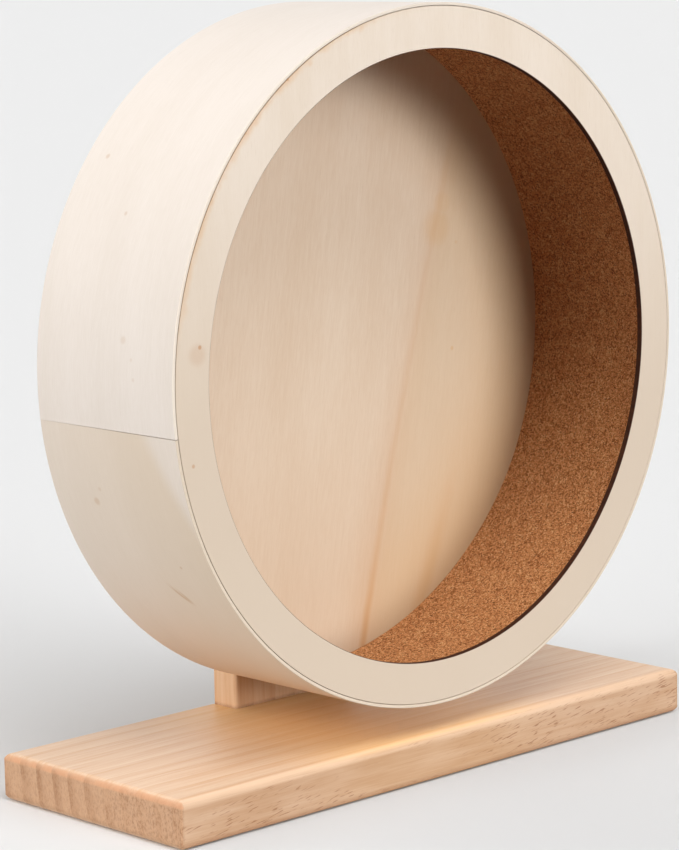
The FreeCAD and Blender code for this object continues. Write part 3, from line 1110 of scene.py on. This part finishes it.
    def _cork(self) -> None:
        """Build the cork running surface."""
        low = self.front + self.ring_thickness
        lift_from, lift_to = ((angle - self.cork_joint) / 360.0 for angle in self.lift_angles)
        self._strip("cork_running_surface", "cork", "cork_liner",
                    Middle_Radius=self.fitted_radius - self.cork_thickness / 2,
                    Thickness=self.cork_thickness, Width=self.disc_front - low,
                    Middle_Along_Axle=(self.disc_front + low) / 2, Steps_Across=self.cork_steps,
                    Edge_Lift=self.cork_lift, Lift_From=lift_from, Lift_To=lift_to,
                    Material=Cork("cork").material(), **self._arc(self.cork_joint, self.cork_gap))


@dataclass(frozen=True)
class Screws:
    """Sizes and places of one set of countersunk screws; the spread is a ring's radius or a row's spacing."""

    name: str
    layout: ScrewLayout
    head: float
    shank: float
    length: float
    count: int
    spread: float
    turn: Triple
    place: Triple


@dataclass
class ScrewSet:
    """Maker of countersunk cross-recess screws."""

    point: float = 2.0 * MM
    tip: float = 0.2 * MM
    rim: float = 0.1 * MM
    steps: int = 32
    recess_length: float = 0.58
    recess_width: float = 0.13
    recess_depth: float = 0.24

    def __post_init__(self) -> None:
        """Build the tree and the material once."""
        self.tree = ScrewTree()
        self.material = Steel("screw_steel", shade=(0.7, 0.68, 0.62), dull=(0.55, 0.52, 0.46)).material()

    def make(self, screws: Screws) -> Object:
        """Make a set of screws.

        Args:
            screws: The set's sizes and places.

        Returns:
            The piece.
        """
        head, shank, length = screws.head, screws.shank, screws.length
        cone = (head - shank) / 2
        profile = [(0.0, -length), (self.tip, -length), (shank / 2, self.point - length),
                   (shank / 2, -cone - self.rim), (head / 2, -0.15 * MM), (head / 2, -0.05 * MM),
                   (head / 2 - self.rim, 0.0), (0.0, 0.0)]
        blank = bpy.data.objects.new("screw_blank", turned_mesh("screw_blank", profile, self.steps))
        bpy.context.scene.collection.objects.link(blank)
        piece = self.tree.piece(screws.name, {
            "Blank": blank, "Recess Length": head * self.recess_length,
            "Recess Width": head * self.recess_width, "Recess Depth": head * self.recess_depth,
            "Count": screws.count, "Ring Radius": screws.spread, "Row Spacing": screws.spread,
            "In A Row": screws.layout.value, "Turn": screws.turn, "Place": screws.place,
            "Material": self.material})
        bpy.data.objects.remove(blank)
        return piece


@dataclass
class Hub:
    """The turned block behind the disc, its screws, and what is clamped on the bolt."""

    back: float = 42.05 * MM
    screw_sink: float = 0.5 * MM
    screws: Screws = Screws("hub_screws_cross", ScrewLayout.RING, head=6.0 * MM, shank=3.0 * MM,
                            length=12.1 * MM, count=4, spread=22.0 * MM, turn=(-math.pi / 2, 0.0, 0.0),
                            place=(0.0, back - screw_sink, AXLE_HEIGHT))

    def build(self, maker: ScrewSet) -> None:
        """Dress the block and the bolt, and set the screws.

        Args:
            maker: Maker of countersunk screws.
        """
        dress(Beech("turned_beech").material(), "hub_block")
        zinc = Steel("zinc_plated_steel", shade=(0.66, 0.68, 0.7), dull=(0.52, 0.54, 0.56))
        dress(zinc.material(), "axle_bolt", "front_spacer", "spacer_sleeve", "rear_washer", "lock_nut")
        seat(maker.make(self.screws), "wheel", "zinc_steel", "hub_screws")


@dataclass
class Bearings:
    """The two ball bearings in the post."""

    places: tuple[str, ...] = ("front", "rear")

    def build(self) -> None:
        """Dress rings, balls, cages and shields."""
        rings = Steel("ground_steel", smooth=0.12, rough=0.26).material()
        pressed = Steel("pressed_steel", shade=(0.58, 0.57, 0.55), smooth=0.28, rough=0.45).material()
        for place in self.places:
            dress(rings, place + "_outer_ring", place + "_inner_ring", place + "_balls")
            dress(pressed, place + "_cage", place + "_bearing_front_shield", place + "_bearing_rear_shield")


@dataclass
class Stand:
    """Pine base board and post, with their dowels and screws."""

    post_middle: float = 51.75 * MM
    screw_sink: float = 0.5 * MM
    screws: Screws = Screws("post_screws_cross", ScrewLayout.ROW, head=8.0 * MM, shank=4.0 * MM,
                            length=50.2 * MM, count=2, spread=20.0 * MM, turn=(math.pi, 0.0, 0.0),
                            place=(0.0, post_middle, screw_sink))

    def build(self, maker: ScrewSet) -> None:
        """Dress the boards and dowels, and set the screws.

        Args:
            maker: Maker of countersunk screws.
        """
        # The base board's top carries painted bounce light under the drum.
        dress(Pine("base_pine", painted_bounce_share=0.55).material(), "base_board")
        upright = Pine("post_pine", grain=GrainAxis.HEIGHT, pith=(0.22, 0.16), ring_width=9.0 * MM,
                       ends=(22.7 * MM, 241.05 * MM), front=-1.0, top=1.0, early=linear(210, 175, 141),
                       late=linear(195, 148, 107))
        dress(upright.material(), "upright_post")
        dress(Beech("dowel_beech").material(), "post_dowels")
        seat(maker.make(self.screws), "stand", "zinc_steel", "post_screws")


class Bounces(Enum):
    """How often a lamp's light is thrown on."""

    NONE = 0
    MANY = 8


@dataclass(frozen=True)
class SoftLamp:
    """A wide soft lamp far from the wheel."""

    name: str
    azimuth: float
    elevation: float
    spread: float
    strength: float
    bounces: Bounces = Bounces.MANY
    distance: float = 3.0

    def build(self) -> None:
        """Add the lamp; a strength of 1 shows a white surface square to it as white."""
        around = math.radians(self.azimuth)
        above = math.radians(self.elevation)
        out = math.cos(above)
        way = Vector((math.sin(around) * out, -math.cos(around) * out, math.sin(above)))
        lamp = bpy.data.lights.new(self.name, "SUN")
        lamp.angle = math.radians(self.spread)
        lamp.energy = self.strength * math.pi
        lamp.cycles.max_bounces = self.bounces.value
        holder = bpy.data.objects.new(self.name, lamp)
        holder.location = way * self.distance
        holder.rotation_mode = "QUATERNION"
        holder.rotation_quaternion = (-way).to_track_quat("-Z", "Y")
        bpy.context.scene.collection.objects.link(holder)
        log.info("lit by %s", self.name)


@dataclass
class Studio:
    """Pale floor, soft light and the photograph's viewpoint."""

    floor_radius: float = 60.0
    near_radius: float = 0.5
    floor_height: float = -0.2 * MM
    near_height: float = -0.1 * MM
    rim_steps: int = 96
    floor_shade: Triple = (0.75, 0.75, 0.75)
    sky_strength: float = 0.88
    lamps: tuple[SoftLamp, ...] = (
        SoftLamp("front_light", 4.0, 4.0, 26.0, 0.64, Bounces.NONE),
        SoftLamp("raised_front_light", 1.0, 16.0, 26.0, 0.27, Bounces.NONE),
        SoftLamp("high_front_light", -6.0, 30.0, 26.0, 0.065, Bounces.NONE),
        SoftLamp("overhead_fill", -15.0, 62.0, 40.0, 0.26, Bounces.NONE),
        SoftLamp("overhead_light", -15.0, 62.0, 40.0, 0.28),
        SoftLamp("upper_left_light", -72.0, 52.0, 40.0, 0.13),
        SoftLamp("broad_left_light", -90.0, 25.0, 40.0, 0.24),
        SoftLamp("left_light", -95.0, 5.0, 14.0, 0.51),
        SoftLamp("back_left_light", -130.0, 17.0, 40.0, 0.17),
        SoftLamp("back_light", -170.0, 31.0, 40.0, 0.18),
        SoftLamp("back_right_light", 145.0, 18.0, 40.0, 0.2),
        SoftLamp("side_right_light", 120.0, 5.0, 14.0, 0.13),
        SoftLamp("right_light", 80.0, 5.0, 14.0, 0.41),
    )
    camera_place: Triple = (-1.033595, -1.07394, 0.39818)
    camera_yaw: float = 43.7
    camera_pitch: float = 8.947
    camera_roll: float = 1.141
    focal_pixels: float = 3124.394
    frame_height: int = 850

    def build(self) -> None:
        """Add floor, sky, lamps and camera."""
        self._floor()
        self._sky()
        for lamp in self.lamps:
            lamp.build()
        self._camera()

    def _floor(self) -> None:
        """Add the floor, of which only the part near the wheel throws light back at it."""
        graph = ShaderGraph("pale_floor")
        graph.shade(Base_Color=self.floor_shade, Roughness=0.9, Specular_IOR_Level=0.0)
        wide = self._sheet("floor", self.floor_radius, self.floor_height, graph.material)
        wide.visible_diffuse = False
        self._sheet("near_floor", self.near_radius, self.near_height, graph.material)

    def _sheet(self, name: str, radius: float, height: float, material: Material) -> Object:
        """Add a round flat sheet.

        Args:
            name: The sheet's name.
            radius: Its radius.
            height: Its place along Z.
            material: Its finish.

        Returns:
            The staged object.
        """
        turns = [math.tau * k / self.rim_steps for k in range(self.rim_steps)]
        rim = [(radius * math.cos(turn), radius * math.sin(turn), height) for turn in turns]
        mesh = bpy.data.meshes.new(name)
        mesh.from_pydata(rim, [], [tuple(range(self.rim_steps))])
        mesh.materials.append(material)
        sheet = bpy.data.objects.new(name, mesh)
        bpy.context.scene.collection.objects.link(sheet)
        return sheet

    def _sky(self) -> None:
        """Add an even white surround that is seen but gives no light."""
        scene = bpy.context.scene
        scene.world = bpy.data.worlds.new("white_surround")
        scene.world.use_nodes = True
        background = scene.world.node_tree.nodes["Background"]
        background.inputs["Color"].default_value = (1.0, 1.0, 1.0, 1.0)
        background.inputs["Strength"].default_value = self.sky_strength
        seen_by = scene.world.cycles_visibility
        seen_by.diffuse = False
        seen_by.glossy = False
        seen_by.transmission = False
        seen_by.scatter = False
        scene.view_settings.view_transform = "Standard"

    def _camera(self) -> None:
        """Add the camera at the photograph's viewpoint."""
        yaw, pitch, roll = (math.radians(a) for a in (self.camera_yaw, self.camera_pitch, self.camera_roll))
        ahead = Vector((math.sin(yaw) * math.cos(pitch), math.cos(yaw) * math.cos(pitch), -math.sin(pitch)))
        level = Vector((math.cos(yaw), -math.sin(yaw), 0.0))
        down = ahead.cross(level)
        right = level * math.cos(roll) + down * math.sin(roll)
        up = level * math.sin(roll) - down * math.cos(roll)
        lens = bpy.data.cameras.new("camera")
        lens.sensor_width = 36.0
        lens.lens = self.focal_pixels * lens.sensor_width / self.frame_height
        camera = bpy.data.objects.new("camera", lens)
        turn = Matrix((right, up, -ahead)).transposed()
        camera.matrix_world = Matrix.Translation(self.camera_place) @ turn.to_4x4()
        bpy.context.scene.collection.objects.link(camera)
        bpy.context.scene.camera = camera


def main() -> None:
    """Build the wheel's classes in order."""
    logging.basicConfig(level=logging.INFO, format="%(message)s")
    screws = ScrewSet()
    Drum().build()
    Hub().build(screws)
    Bearings().build()
    Stand().build(screws)
    Studio().build()


if __name__ == "__main__":
    main()
